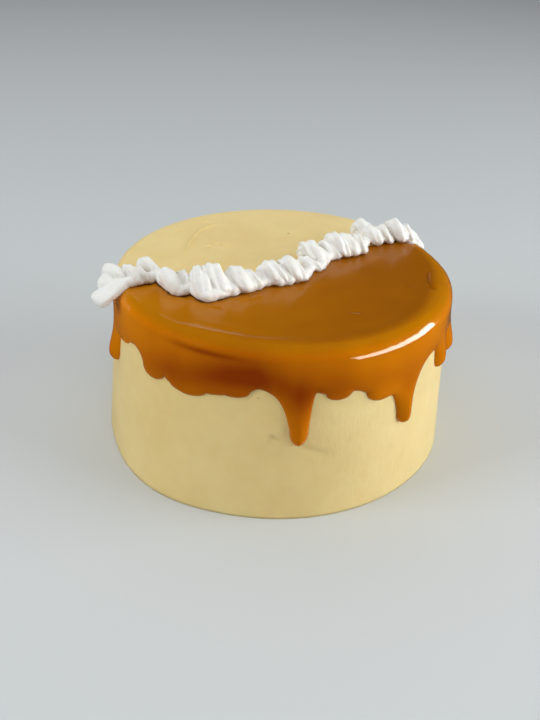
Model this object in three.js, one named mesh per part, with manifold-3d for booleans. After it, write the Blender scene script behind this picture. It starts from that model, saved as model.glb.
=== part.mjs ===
// A salted caramel cake: a tall round cake in smooth buttercream, with a caramel glaze poured over the front
// of its top that runs down the side in drips, and a border of piped cream across the top where the glaze ends.
// Millimetres. +X right, +Y towards the back, +Z up. The origin is the middle of the flat base.
import * as THREE from 'three';
import { mergeVertices } from 'three/addons/utils/BufferGeometryUtils.js';
import Module from 'manifold-3d';

const wasm = await Module();
wasm.setup();

// Driving dimensions of the cake's body
const BASE_RADIUS = 100;
const TOP_RADIUS = 95.7;
const HEIGHT = 97.9;
const EDGE_RADIUS = 4;
const LEAN = new THREE.Vector2(3.2, 0);
// The top is a little oval, narrowest along this angle, and so is the base, less so
const OVAL_ANGLE = 20;
const OVAL_TOP = -2.1;
const OVAL_BASE = -0.4;
// Where the hand-smoothed side bulges or falls in: angle and spread in degrees, and how far at base and top
const BULGES = [
  { at: -161, spread: 15, base: -1.6, top: -0.7 },
  { at: -126, spread: 17, base: 1.9, top: 0 },
  { at: -14, spread: 16, base: 0.6, top: -0.9 },
  { at: 20, spread: 20, base: 0, top: -3.2 },
];

// Driving dimensions of the glaze
const GAP = 0.3;
const GLAZE_SIDE = 2.2;
const GLAZE_TOP = 3;
const DRIP_BULGE = 2;
const DRIP_BULGE_SPREAD = 1.5;
const LONG_DRIP = 25;
const GLAZE_EDGE = 4;
const GLAZE_DEPTH = 2.5;
const GLAZE_START = -169;
const GLAZE_END = 33;
const HEM = 79;
const HEM_END = 90;
const HEM_RISE = 7;
const HEM_BLEND = 5;
const RIM_INSET = 1.5;

// Each drip or lobe of the hem: its angle round the cake, the height of its tip, half its width, and how widely
// its left and right flanks flare into the hem. Angles in degrees from +X, the rest in millimetres.
const DRIPS = [
  { at: -161.5, tip: 54.5, half: 5, left: 1.2, right: 1.5 },
  { at: -154.8, tip: 69.2, half: 11, left: 3, right: 5.6 },
  { at: -130.9, tip: 67.7, half: 8.4, left: 3.7, right: 6 },
  { at: -123.2, tip: 70.2, half: 5, left: 2.7, right: 2 },
  { at: -117.3, tip: 66.9, half: 10.5, left: 5.4, right: 8.2 },
  { at: -109.8, tip: 70.7, half: 7.6, left: 3.2, right: 3 },
  { at: -102.8, tip: 71.6, half: 8.2, left: 5, right: 3.4 },
  { at: -83.1, tip: 46, half: 4, left: 4.9, right: 0.9 },
  { at: -72.3, tip: 71.2, half: 6.5, left: 9.9, right: 9.6 },
  { at: -58, tip: 65.7, half: 9.3, left: 11.9, right: 5 },
  { at: -48, tip: 44.5, half: 4.5, left: 6.8, right: 4.6 },
  { at: -28, tip: 62.5, half: 4.8, left: 1.6, right: 1 },
  { at: -14, tip: 61.5, half: 4.2, left: 1, right: 1.6 },
  { at: 3, tip: 68, half: 6, left: 3, right: 2 },
  { at: 18, tip: 56, half: 4.6, left: 2.4, right: 1.2 },
];

// Driving dimensions of the piped border, and those of a lobe of size 1
const LOBE_FOOT = 2;
const LOBE_ALONG = 8.6;
const LOBE_ACROSS = 11.9;
const LOBE_UP = 9.5;
const LOBE_LIFT = 0.6;
const RIBS = 8;
const RIB_DEPTH = 0.22;
const TWIST = 0.5;
// Each lobe, from the left rim to the right one: its place, its height beside the flat top, its size, and how far
// its long axis is turned from the front towards the right, in degrees
const LOBES = [
  { x: -89.3, y: -44.5, high: -6, size: 0.62, turn: -60 },
  { x: -87.5, y: -37, high: -3, size: 0.68, turn: -45 },
  { x: -86, y: -29, high: -0.6, size: 0.74, turn: -30 },
  { x: -80, y: -29, high: 0, size: 0.66, turn: 0 },
  { x: -73, y: -29, high: 0, size: 0.64, turn: 35 },
  { x: -68.5, y: -21, high: 0, size: 0.64, turn: 50 },
  { x: -61, y: -27, high: 0, size: 0.62, turn: 20 },
  { x: -56, y: -37, high: 0, size: 0.74, turn: 15 },
  { x: -47, y: -40.5, high: 0, size: 0.84, turn: 15 },
  { x: -34, y: -40.5, high: 0, size: 1.1, turn: 0 },
  { x: -21, y: -35, high: 0, size: 0.88, turn: 15 },
  { x: -12, y: -33, high: 0, size: 0.66, turn: 15 },
  { x: -4, y: -25, high: 0, size: 0.92, turn: 25 },
  { x: 8.5, y: -19, high: 0, size: 0.98, turn: 28 },
  { x: 18.5, y: -9, high: 0, size: 1.04, turn: 28 },
  { x: 26, y: 3, high: 0, size: 0.94, turn: 28 },
  { x: 34.5, y: 11.5, high: 0, size: 0.98, turn: 26 },
  { x: 45, y: 20.5, high: 0, size: 0.88, turn: 24 },
  { x: 53, y: 31.5, high: 0, size: 0.98, turn: 18 },
  { x: 63, y: 37.5, high: 0, size: 0.84, turn: 10 },
  { x: 71.5, y: 43, high: 0, size: 0.9, turn: 0 },
  { x: 81, y: 35.5, high: -2.5, size: 0.64, turn: 30 },
];

// How finely the shapes are divided
const BODY_SEGMENTS = 72;
const BODY_SIDE_HEIGHTS = [18, 40, 62, 80];
const BODY_EDGE_SHARES = [1, 0.75, 0.5, 0.25, 0];
const BODY_TOP_INSETS = [30, 65];
const GLAZE_COLUMNS = 146;
const TOP_ROWS = [0, 0.03, 0.12, 0.5, 1];
const SHOULDER_ROWS = [0.33, 0.66, 1];
const SIDE_ROWS = [0.35, 0.65, 0.85, 0.95, 1];
const HEM_STEPS = 800;
const HEM_FALL_SHARE = 0.8;
const LINE_STEP = 0.002;
const LOBE_RINGS = 6;
const WELD = 1e-4;

const rad = THREE.MathUtils.degToRad;
// How far the skin runs round the top's edge, and along the rim in one degree
const TURN = (EDGE_RADIUS * Math.PI) / 2;
const PER_DEGREE = rad(1) * TOP_RADIUS;

// The body's surface

// How far the hand-smoothed side stands out of round at an angle, and at a height from 0 at the base to 1 at the top
function outOfRound(angle, high) {
  const oval = (OVAL_BASE + (OVAL_TOP - OVAL_BASE) * high) * Math.cos(2 * (angle - rad(OVAL_ANGLE)));
  let bulge = 0;
  for (const { at, spread, base, top } of BULGES) {
    const off = Math.atan2(Math.sin(angle - rad(at)), Math.cos(angle - rad(at))) / rad(spread);
    bulge += (base + (top - base) * high) * Math.exp(-off * off);
  }
  return oval + bulge;
}

// A point of the skin at an angle and at a distance down from where the top's edge starts to turn, moved out by
// grow. A distance under zero lies on the flat top.
function skin(angle, down, grow) {
  const start = TOP_RADIUS - EDGE_RADIUS + outOfRound(angle, 1);
  let radius;
  let z;
  if (down < 0) {
    radius = start + down;
    z = HEIGHT + grow;
  } else if (down < TURN) {
    const bend = down / EDGE_RADIUS;
    radius = start + (EDGE_RADIUS + grow) * Math.sin(bend);
    z = HEIGHT - EDGE_RADIUS + (EDGE_RADIUS + grow) * Math.cos(bend);
  } else {
    z = HEIGHT - EDGE_RADIUS - (down - TURN);
    const high = z / (HEIGHT - EDGE_RADIUS);
    radius = BASE_RADIUS + (TOP_RADIUS - BASE_RADIUS) * high + outOfRound(angle, high) + grow;
  }
  const shift = z / HEIGHT;
  return new THREE.Vector3(
    radius * Math.cos(angle) + LEAN.x * shift,
    radius * Math.sin(angle) + LEAN.y * shift,
    z,
  );
}

// The distance down the skin at which the side reaches a height
function downTo(z) {
  return TURN + HEIGHT - EDGE_RADIUS - z;
}

// The body as a lathe whose points are then moved onto the leaning, slightly uneven skin
function bodyGeometry(grow) {
  const distances = [
    ...[-grow, ...BODY_SIDE_HEIGHTS].map(downTo),
    ...BODY_EDGE_SHARES.map((share) => TURN * share),
    ...BODY_TOP_INSETS.map((inset) => -inset),
  ];
  const profile = [new THREE.Vector2(0, 0)];
  distances.forEach((down, row) => profile.push(new THREE.Vector2(1, row + 1)));
  profile.push(new THREE.Vector2(0, distances.length + 1));
  const geometry = new THREE.LatheGeometry(profile, BODY_SEGMENTS);
  const place = geometry.attributes.position;
  for (let i = 0; i < place.count; i += 1) {
    const angle = Math.atan2(-place.getZ(i), place.getX(i));
    const row = Math.round(place.getY(i));
    let point = new THREE.Vector3(0, 0, -grow);
    if (row > distances.length) point = new THREE.Vector3(LEAN.x, LEAN.y, HEIGHT + grow);
    else if (row > 0) point = skin(angle, distances[row - 1], grow);
    place.setXYZ(i, point.x, point.y, point.z);
  }
  return geometry;
}

// The glaze

// How far a drip reaches below the hem at an arc length from its middle
function dripDepth(drip, arc) {
  const length = HEM - drip.tip;
  const round = Math.min(drip.half, length / 2);
  const flare = arc < 0 ? drip.left : drip.right;
  const side = Math.abs(arc);
  if (side < drip.half) return length - round + Math.sqrt(1 - (side / drip.half) ** 2) * round;
  return (length - round) * Math.exp(-(side - drip.half) / flare);
}

// The height of the glaze's lower edge at an angle in degrees
function lowerEdge(degrees) {
  let sum = 0;
  for (const drip of DRIPS) sum += dripDepth(drip, (degrees - drip.at) * PER_DEGREE) ** HEM_BLEND;
  const toEnd = Math.min(degrees - GLAZE_START, GLAZE_END - degrees) / HEM_RISE;
  const rise = toEnd < 1 ? (1 + Math.cos(Math.PI * toEnd)) / 2 : 0;
  return HEM - sum ** (1 / HEM_BLEND) * (1 - rise) + (HEM_END - HEM) * rise;
}

// How much the glaze swells along a drip at an angle in degrees
function dripSwell(degrees) {
  let most = 0;
  for (const drip of DRIPS) {
    const off = ((degrees - drip.at) * PER_DEGREE) / (drip.half * DRIP_BULGE_SPREAD);
    most = Math.max(most, Math.exp(-off * off) * Math.min(1, (HEM - drip.tip) / LONG_DRIP));
  }
  return most;
}

// Angles of the glaze's columns, closer together where the lower edge is steep
function columnAngles() {
  const step = (GLAZE_END - GLAZE_START) / HEM_STEPS;
  const lengths = [0];
  for (let i = 1; i <= HEM_STEPS; i += 1) {
    const here = GLAZE_START + i * step;
    const fall = lowerEdge(here) - lowerEdge(here - step);
    lengths.push(lengths[i - 1] + Math.hypot(step * PER_DEGREE, fall * HEM_FALL_SHARE));
  }
  const angles = [];
  for (let column = 0; column < GLAZE_COLUMNS; column += 1) {
    const wanted = (lengths[HEM_STEPS] * column) / (GLAZE_COLUMNS - 1);
    const found = lengths.findIndex((length) => length >= wanted - WELD);
    const low = Math.max(1, found);
    const part = (wanted - lengths[low - 1]) / (lengths[low] - lengths[low - 1]);
    angles.push(GLAZE_START + (low - 1 + part) * step);
  }
  return angles;
}

// The border's centre line, laid on the flat top
const borderLine = new THREE.CatmullRomCurve3(LOBES.map(({ x, y }) => new THREE.Vector3(x, y, HEIGHT)));

// Where the line crosses the rim, looking from one of its ends: how far along it, and at which angle
function rimCrossing(from, step) {
  for (let part = from; ; part += step) {
    const point = borderLine.getPointAt(part);
    const x = point.x - LEAN.x;
    const y = point.y - LEAN.y;
    const angle = Math.atan2(y, x);
    if (Math.hypot(x, y) < TOP_RADIUS - EDGE_RADIUS + outOfRound(angle, 1) - RIM_INSET) {
      return { part, degrees: THREE.MathUtils.radToDeg(angle) };
    }
  }
}

// Where the glaze's inner edge lies at an angle in degrees: under the border, and past its ends along the rim
function innerEdge(degrees, grow) {
  const first = rimCrossing(0, LINE_STEP);
  const last = rimCrossing(1, -LINE_STEP);
  if (degrees <= first.degrees || degrees >= last.degrees) return skin(rad(degrees), -RIM_INSET - grow, 0);
  const share = (degrees - first.degrees) / (last.degrees - first.degrees);
  const part = first.part + (last.part - first.part) * share;
  const along = borderLine.getTangentAt(part);
  const back = new THREE.Vector3(-along.y, along.x, 0);
  return borderLine.getPointAt(part).addScaledVector(back, grow);
}

// Distance from a point to a closed run of points
function toOutline(point, outline) {
  const line = new THREE.Line3();
  const near = new THREE.Vector3();
  let least = Infinity;
  for (let i = 0; i < outline.length; i += 1) {
    line.set(outline[i], outline[(i + 1) % outline.length]);
    line.closestPointToPoint(point, true, near);
    least = Math.min(least, near.distanceTo(point));
  }
  return least;
}

// One column of the glaze from the border down to the hem, each place a function of how far it lies off the skin
function columnPlaces(degrees, onTop) {
  const angle = rad(degrees);
  const rim = skin(angle, 0, 0);
  const low = downTo(lowerEdge(degrees));
  return [
    ...TOP_ROWS.map((part) => (off) => onTop.clone().lerp(rim, part).setZ(HEIGHT + off)),
    ...SHOULDER_ROWS.map((part) => (off) => skin(angle, TURN * part, off)),
    ...SIDE_ROWS.map((part) => (off) => skin(angle, TURN + (low - TURN) * part, off)),
  ];
}

// The glaze's full thickness at one of a column's rows: it changes over the shoulder, and a drip swells downwards
function fullThickness(degrees, row) {
  const shoulder = row - (TOP_ROWS.length - 1);
  if (shoulder <= 0) return GLAZE_TOP;
  const side = GLAZE_TOP + ((GLAZE_SIDE - GLAZE_TOP) * shoulder) / SHOULDER_ROWS.length;
  if (shoulder <= SHOULDER_ROWS.length) return side;
  return GLAZE_SIDE + DRIP_BULGE * dripSwell(degrees) * SIDE_ROWS[shoulder - SHOULDER_ROWS.length - 1];
}

// The glaze as a closed skin, moved out by grow all round
function glazeGeometry(grow) {
  const angles = columnAngles();
  const columns = angles.map((degrees, column) => {
    const side = column === 0 ? -1 : Number(column === angles.length - 1);
    return columnPlaces(degrees + (side * grow) / PER_DEGREE, innerEdge(degrees, grow));
  });
  const rows = columns[0].length;
  const outline = [
    ...columns.map((places) => places[rows - 1](0)),
    ...columns[columns.length - 1].map((place) => place(0)).reverse(),
    ...columns.map((places) => places[0](0)).reverse(),
    ...columns[0].map((place) => place(0)),
  ];
  const outer = [];
  const inner = [];
  columns.forEach((places, column) => {
    places.forEach((place, row) => {
      const inset = Math.min(1, toOutline(place(0), outline) / GLAZE_EDGE);
      outer.push(place(grow + fullThickness(angles[column], row) * Math.sqrt(1 - (1 - inset) ** 2)));
      inner.push(place(-GLAZE_DEPTH));
    });
  });
  const points = [...outer, ...inner];
  const under = outer.length;
  const faces = [];
  const quad = (a, b, c, d) => faces.push(a, b, c, a, c, d);
  for (let column = 0; column + 1 < columns.length; column += 1) {
    for (let row = 0; row + 1 < rows; row += 1) {
      const at = column * rows + row;
      quad(at, at + 1, at + 1 + rows, at + rows);
      quad(under + at, under + at + rows, under + at + 1 + rows, under + at + 1);
    }
    const start = column * rows;
    quad(start, start + rows, under + start + rows, under + start);
    const end = start + rows - 1;
    quad(end, under + end, under + end + rows, end + rows);
  }
  const far = (columns.length - 1) * rows;
  for (let row = 0; row + 1 < rows; row += 1) {
    quad(row, under + row, under + row + 1, row + 1);
    quad(far + row, far + row + 1, under + far + row + 1, under + far + row);
  }
  const geometry = new THREE.BufferGeometry().setFromPoints(points);
  geometry.setIndex(faces);
  return geometry;
}

// The piped border

// One squeeze of the star nozzle: a rounded lobe, ribbed and twisted along its length, resting where it lies
function lobeGeometry({ x, y, high, size, turn }) {
  const geometry = new THREE.SphereGeometry(1, RIBS * 2, LOBE_RINGS);
  const place = geometry.attributes.position;
  const lengthwise = new THREE.Vector3(0, 1, 0);
  const point = new THREE.Vector3();
  for (let i = 0; i < place.count; i += 1) {
    point.fromBufferAttribute(place, i);
    const around = Math.atan2(point.z, point.x);
    const rib = 1 - RIB_DEPTH * (0.5 - 0.5 * Math.cos(RIBS * around));
    point.set(point.x * rib, point.y, point.z * rib);
    point.applyAxisAngle(lengthwise, TWIST * point.y);
    place.setXYZ(i, point.x, point.y, point.z);
  }
  geometry.scale(LOBE_ALONG * size, LOBE_ACROSS * size, LOBE_UP * size);
  geometry.rotateZ(rad(turn));
  geometry.translate(x, y, HEIGHT + high + LOBE_FOOT + LOBE_LIFT * LOBE_UP * size);
  return geometry;
}

// Solids for cutting and joining

function toSolid(geometry) {
  const bare = geometry.clone();
  bare.deleteAttribute('normal');
  bare.deleteAttribute('uv');
  const merged = mergeVertices(bare, WELD);
  const index = Array.from(merged.index.array);
  const triVerts = [];
  for (let i = 0; i < index.length; i += 3) {
    const [a, b, c] = index.slice(i, i + 3);
    if (a !== b && b !== c && c !== a) triVerts.push(a, b, c);
  }
  return new wasm.Manifold(new wasm.Mesh({
    numProp: 3,
    vertProperties: new Float32Array(merged.attributes.position.array),
    triVerts: new Uint32Array(triVerts),
  }));
}

// Cutting can leave loose scraps and sealed pockets, so only the largest part is kept
function fromSolid(solid) {
  const [largest] = solid.decompose().sort((a, b) => b.volume() - a.volume());
  const { vertProperties, triVerts } = largest.getMesh();
  const geometry = new THREE.BufferGeometry();
  geometry.setAttribute('position', new THREE.BufferAttribute(new Float32Array(vertProperties), 3));
  geometry.setIndex(new THREE.BufferAttribute(new Uint32Array(triVerts), 1));
  geometry.computeVertexNormals();
  return geometry;
}

// The body, the glaze cut to lie on it, and all lobes joined and cut to lie on both
const body = toSolid(bodyGeometry(0));
const bodyWithGap = toSolid(bodyGeometry(GAP));
const glaze = toSolid(glazeGeometry(0)).subtract(bodyWithGap);
const glazeWithGap = toSolid(glazeGeometry(GAP));
const lobes = LOBES.map((lobe) => toSolid(lobeGeometry(lobe)));
const joined = lobes.reduce((all, lobe) => all.add(lobe));
const border = joined.subtract(glazeWithGap).subtract(bodyWithGap).subtract(glaze);

// The finished cake

function part(name, geometry, look) {
  const mesh = new THREE.Mesh(geometry, new THREE.MeshStandardMaterial({ metalness: 0, ...look }));
  mesh.name = name;
  return mesh;
}

const group = new THREE.Group();
group.add(
  part('cake', fromSolid(body), { color: 0xe4cc8f, roughness: 0.6 }),
  part('caramel_glaze', fromSolid(glaze), { color: 0xa86408, roughness: 0.2 }),
  part('piped_cream', fromSolid(border), { color: 0xf0eee8, roughness: 0.5 }),
);

export default group;
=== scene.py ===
"""The looks of a salted caramel cake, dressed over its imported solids, in metres with +Z up."""

import logging
import math
from contextlib import contextmanager
from dataclasses import dataclass
from enum import Enum
from typing import Callable, ClassVar, Iterator

import bmesh
import bpy
import numpy as np
from mathutils import Matrix, Vector, kdtree, noise


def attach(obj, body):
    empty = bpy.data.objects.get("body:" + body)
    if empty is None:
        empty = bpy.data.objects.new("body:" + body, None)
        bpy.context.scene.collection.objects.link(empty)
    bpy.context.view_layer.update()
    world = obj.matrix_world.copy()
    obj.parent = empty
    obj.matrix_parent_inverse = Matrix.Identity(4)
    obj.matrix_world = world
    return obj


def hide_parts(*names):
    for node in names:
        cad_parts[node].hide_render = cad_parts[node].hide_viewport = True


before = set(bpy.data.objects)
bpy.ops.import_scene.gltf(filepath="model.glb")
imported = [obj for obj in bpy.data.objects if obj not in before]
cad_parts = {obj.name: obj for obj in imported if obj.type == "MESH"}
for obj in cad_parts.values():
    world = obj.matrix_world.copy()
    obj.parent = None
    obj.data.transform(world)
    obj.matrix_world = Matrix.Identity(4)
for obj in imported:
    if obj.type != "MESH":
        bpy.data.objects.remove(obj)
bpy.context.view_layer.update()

log = logging.getLogger("cake")
logging.basicConfig(level=logging.INFO, format="%(message)s")

Array = np.ndarray
Path2D = tuple[tuple[float, float], ...]
Rgba = tuple[float, float, float, float]
Socket = bpy.types.NodeSocket
MM = 0.001
WELD = 1e-6  # The distance in metres below which points are one
ROOT = "root"


class Slot(Enum):
    """The record's material slots."""

    BUTTERCREAM = "buttercream"
    CARAMEL = "caramel"
    CREAM = "cream"


class Node(Enum):
    """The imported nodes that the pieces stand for."""

    CAKE = "cake"
    GLAZE = "caramel_glaze"
    BORDER = "piped_cream"


# Small helpers


def smooth_step(low: float, high: float, value: Array) -> Array:
    """Ease from 0 at low to 1 at high.

    Args:
        low: The value at which the result is 0.
        high: The value at which the result is 1.
        value: The values to ease.

    Returns:
        The eased values.
    """
    t = np.clip((value - low) / (high - low), 0, 1)
    return t * t * (3 - 2 * t)


def blend(first: object, last: object, share: Array) -> Array:
    """Values that run from one at a share of 0 to another at 1."""
    return first + (last - first) * share


def bump(value: Array, width: float) -> Array:
    """A soft hill of height 1 at 0 that falls off over a width."""
    return np.exp(-((value / width) ** 2))


def ripple(points: Array, scale: float, seed: float) -> Array:
    """Smooth noise at points, from about -1 to 1.

    Args:
        points: One point a row, in millimetres.
        scale: The size of one ripple in millimetres.
        seed: Where in the noise the pattern is taken from.

    Returns:
        One value a point.
    """
    shift = Vector((seed, -seed, 0.37 * seed))
    return np.array([noise.noise(Vector(p) / scale + shift) for p in points.tolist()])


@dataclass(frozen=True)
class Ripple:
    """A gentle unevenness.

    Attributes:
        height: How far it stands out.
        scale: The size of one ripple.
        seed: Where in the noise it is taken from.
        squeeze: How much tighter it is along each axis.
    """

    height: float
    scale: float
    seed: float
    squeeze: tuple[float, float, float] = (1, 1, 1)

    def at(self, points: Array) -> Array:
        """How far it stands out at points."""
        return self.height * ripple(points * self.squeeze, self.scale, self.seed)


@dataclass(frozen=True)
class Patch:
    """A soft hill on the cake's side.

    Attributes:
        height: How high it is.
        z: The height of its middle.
        tall: How far up and down it reaches.
        at: The angle of its middle in degrees.
        wide: How far round it reaches, in degrees.
    """

    height: float
    z: float
    tall: float
    at: float
    wide: float

    def on(self, degrees: Array, places: Array) -> Array:
        """How high it is at places on the side."""
        return self.height * bump(places[:, 2] - self.z, self.tall) * bump(degrees - self.at, self.wide)


def polar(places: Array, middle: tuple[float, float] = (0, 0)) -> tuple[Array, Array]:
    """The radius and the angle in radians of places round a middle."""
    rel = places[:, :2] - np.array(middle)
    return np.hypot(*rel.T), np.arctan2(rel[:, 1], rel[:, 0])


def look_up(table: Path2D, value: Array) -> Array:
    """The second column of a table, at values of its first."""
    return np.interp(value, *np.array(table, float).T)


def run_along(path: Array) -> Array:
    """How far along a path each of its points lies."""
    return np.concatenate([[0], np.cumsum(np.hypot(*np.diff(path, axis=0).T))])


def pick(path: Array, run: Array, value: Array) -> Array:
    """The places at which a path has run so far, one a row."""
    return np.stack([np.interp(value, run, column) for column in path.T], 1)


def unit(rows: Array) -> Array:
    """Rows at a length of 1."""
    return rows / np.linalg.norm(rows, axis=1)[:, None]


def to_path(points: Array, path: Path2D) -> tuple[Array, Array, Array]:
    """Measure points against an open path in the plane.

    Args:
        points: One point a row.
        path: The path's corners in order.

    Returns:
        The distance to the path, its side as -1 or 1, and how far along the nearest place is, 0 to 1.
    """
    corners = np.array(path, float)
    lengths = np.hypot(*np.diff(corners, axis=0).T)
    total = lengths.sum()
    best = np.full(len(points), np.inf)
    side = np.ones(len(points))
    along = np.zeros(len(points))
    run = 0.0
    for a, b, length in zip(corners, corners[1:], lengths):
        d = (b - a) / length
        rel = points - a
        t = np.clip(rel @ d, 0, length)
        off = rel - t[:, None] * d
        dist = np.hypot(*off.T)
        near = dist < best
        best = np.where(near, dist, best)
        cross = d[0] * rel[:, 1] - d[1] * rel[:, 0]
        side = np.where(near, np.sign(cross), side)
        along = np.where(near, (run + t) / total, along)
        run += length
    return best, side, along


def read_points(mesh: bpy.types.Mesh) -> Array:
    """All points of a mesh, one a row.

    Args:
        mesh: The mesh.

    Returns:
        Its points.
    """
    co = np.empty(len(mesh.vertices) * 3, np.float32)
    mesh.vertices.foreach_get("co", co)
    return co.reshape(-1, 3).astype(float)


def write_points(mesh: bpy.types.Mesh, points: Array) -> None:
    """Put all points of a mesh at new places."""
    mesh.vertices.foreach_set("co", points.astype(np.float32).ravel())
    mesh.update()


def new_object(name: str, data: bpy.types.ID) -> bpy.types.Object:
    """Put an object with its data into the scene, at the origin.

    Args:
        name: The object's name.
        data: What it holds, such as a mesh.

    Returns:
        The object.
    """
    made = bpy.data.objects.new(name, data)
    bpy.context.scene.collection.objects.link(made)
    return made


def new_piece(name: str, bm: bmesh.types.BMesh) -> bpy.types.Object:
    """Turn a bmesh into a smooth shaded object.

    Args:
        name: The object's name.
        bm: The shape, which is freed.

    Returns:
        The object, in the scene.
    """
    mesh = bpy.data.meshes.new(name)
    bm.to_mesh(mesh)
    bm.free()
    mesh.shade_smooth()
    return new_object(name, mesh)


def pose(place: Vector, axes: tuple[Vector, Vector, Vector]) -> Matrix:
    """The matrix of an object at a place, whose own three axes point so."""
    return Matrix.Translation(place) @ Matrix(axes).transposed().to_4x4()


@contextmanager
def edited(mesh: bpy.types.Mesh) -> Iterator[bmesh.types.BMesh]:
    """Open a mesh as a bmesh with its doubled points merged, and write it back after.

    Args:
        mesh: The mesh.

    Yields:
        The bmesh.
    """
    bm = bmesh.new()
    bm.from_mesh(mesh)
    bmesh.ops.remove_doubles(bm, verts=bm.verts, dist=WELD)
    yield bm
    bm.to_mesh(mesh)
    bm.free()


def tidy_mesh(piece: bpy.types.Object) -> None:
    """Merge a piece's doubled points, drop its empty faces and turn its faces outwards.

    Args:
        piece: The piece.
    """
    with edited(piece.data) as bm:
        bmesh.ops.dissolve_degenerate(bm, edges=bm.edges, dist=WELD)
        bmesh.ops.recalc_face_normals(bm, faces=bm.faces)
    piece.data.shade_smooth()


# The cake's form


@dataclass(frozen=True)
class Bulge:
    """A place where the hand-smoothed side stands out or falls in.

    Attributes:
        at: Its angle in degrees.
        spread: How wide it is in degrees.
        base: How far it stands out at the base.
        top: How far it stands out at the top.
    """

    at: float
    spread: float
    base: float
    top: float


@dataclass(frozen=True)
class CakeForm:
    """The uncut cake's skin, in millimetres."""

    base_radius: float = 100
    top_radius: float = 95.7
    height: float = 97.9
    edge_radius: float = 4
    lean: float = 3.2
    oval_angle: float = 20
    oval_top: float = -2.1
    oval_base: float = -0.4
    bulges: tuple[Bulge, ...] = (
        Bulge(-161, 15, -1.6, -0.7),
        Bulge(-126, 17, 1.9, 0),
        Bulge(-14, 16, 0.6, -0.9),
        Bulge(20, 20, 0, -3.2),
    )

    @property
    def turn(self) -> float:
        """How far the skin runs round the top's edge."""
        return self.edge_radius * math.pi / 2

    @property
    def per_degree(self) -> float:
        """How far the rim runs in one degree."""
        return math.radians(self.top_radius)

    def out_of_round(self, angle: Array, high: Array) -> Array:
        """How far the side stands out of round.

        Args:
            angle: Angles in radians.
            high: Heights from 0 at the base to 1 at the top.

        Returns:
            The distance at each place.
        """
        oval = blend(self.oval_base, self.oval_top, high)
        result = oval * np.cos(2 * (angle - math.radians(self.oval_angle)))
        for b in self.bulges:
            turned = angle - math.radians(b.at)
            off = np.arctan2(np.sin(turned), np.cos(turned)) / math.radians(b.spread)
            result = result + blend(b.base, b.top, high) * np.exp(-off * off)
        return result

    def start(self, angle: Array) -> Array:
        """The radius at which the top's edge starts to turn."""
        return self.top_radius - self.edge_radius + self.out_of_round(angle, 1.0)

    def skin(self, angle: Array, down: Array, off: Array) -> Array:
        """Points of the skin.

        Args:
            angle: Angles in radians.
            down: Distances down the skin from where the top's edge starts to turn, under 0 on the top.
            off: How far each point lies off the skin.

        Returns:
            One point a row, in millimetres.
        """
        angle, down, off = np.broadcast_arrays(*(np.asarray(v, float) for v in (angle, down, off)))
        edge = self.edge_radius
        start = self.start(angle)
        bend = np.clip(down / edge, 0, math.pi / 2)
        side = down >= self.turn
        foot = self.height - edge
        z = np.where(side, foot - (down - self.turn), foot + (edge + off) * np.cos(bend))
        high = z / foot
        slope = blend(self.base_radius, self.top_radius, high)
        rounded = start + (edge + off) * np.sin(bend)
        radius = np.where(side, slope + self.out_of_round(angle, high) + off, rounded)
        radius = np.where(down < 0, start * (1 + down / (self.top_radius - edge)), radius)
        x = radius * np.cos(angle) + self.lean * z / self.height
        return np.stack([x, radius * np.sin(angle), z], -1)

    def down_to(self, z: Array) -> Array:
        """The distance down the skin at which the side reaches a height."""
        return self.turn + self.height - self.edge_radius - z


@dataclass
class Assembly:
    """A part of the cake that is made as one piece.

    Attributes:
        form: The cake's form.
        node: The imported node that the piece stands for.
        slot: The record's slot that its finish belongs to.
    """

    form: CakeForm
    node: ClassVar[Node]
    slot: ClassVar[Slot]

    def shape(self) -> bpy.types.Object:
        """The piece's mesh, which each assembly makes."""
        raise NotImplementedError

    def build(self, material: bpy.types.Material) -> bpy.types.Object:
        """Make the piece and let it stand for its node.

        Args:
            material: Its material.

        Returns:
            The piece.
        """
        piece = self.shape()
        piece.data.materials.clear()
        piece.data.materials.append(material)
        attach(piece, ROOT)
        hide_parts(self.node.value)
        return piece


@dataclass(frozen=True)
class Mark:
    """A ridge or a groove, such as the spatula leaves.

    Attributes:
        path: Where it runs, in millimetres.
        height: How high its ridge stands, under 0 for a groove.
        width: How wide it is.
        step: How much higher its left side lies than its right.
        step_reach: How far to each side the step shows.
        fade: The share of its length over which each end dies out.
        end_height: The share of the height that is left at its ends.
    """

    path: Path2D
    height: float
    width: float
    step: float = 0.0
    step_reach: float = 6
    fade: float = 0.2
    end_height: float = 0.4

    def relief(self, places: Array) -> Array:
        """How far the mark stands out at places in its plane.

        Args:
            places: The places.

        Returns:
            The height at each place.
        """
        distance, left, along = to_path(places, self.path)
        ends = smooth_step(0, self.fade, along) * (1 - smooth_step(1 - self.fade, 1, along))
        ledge = self.step * left * np.exp(-distance / self.step_reach) * (1 - np.exp(-distance)) * ends
        return self.height * bump(distance, self.width) * blend(self.end_height, 1, ends) + ledge


# Shader building


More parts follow.
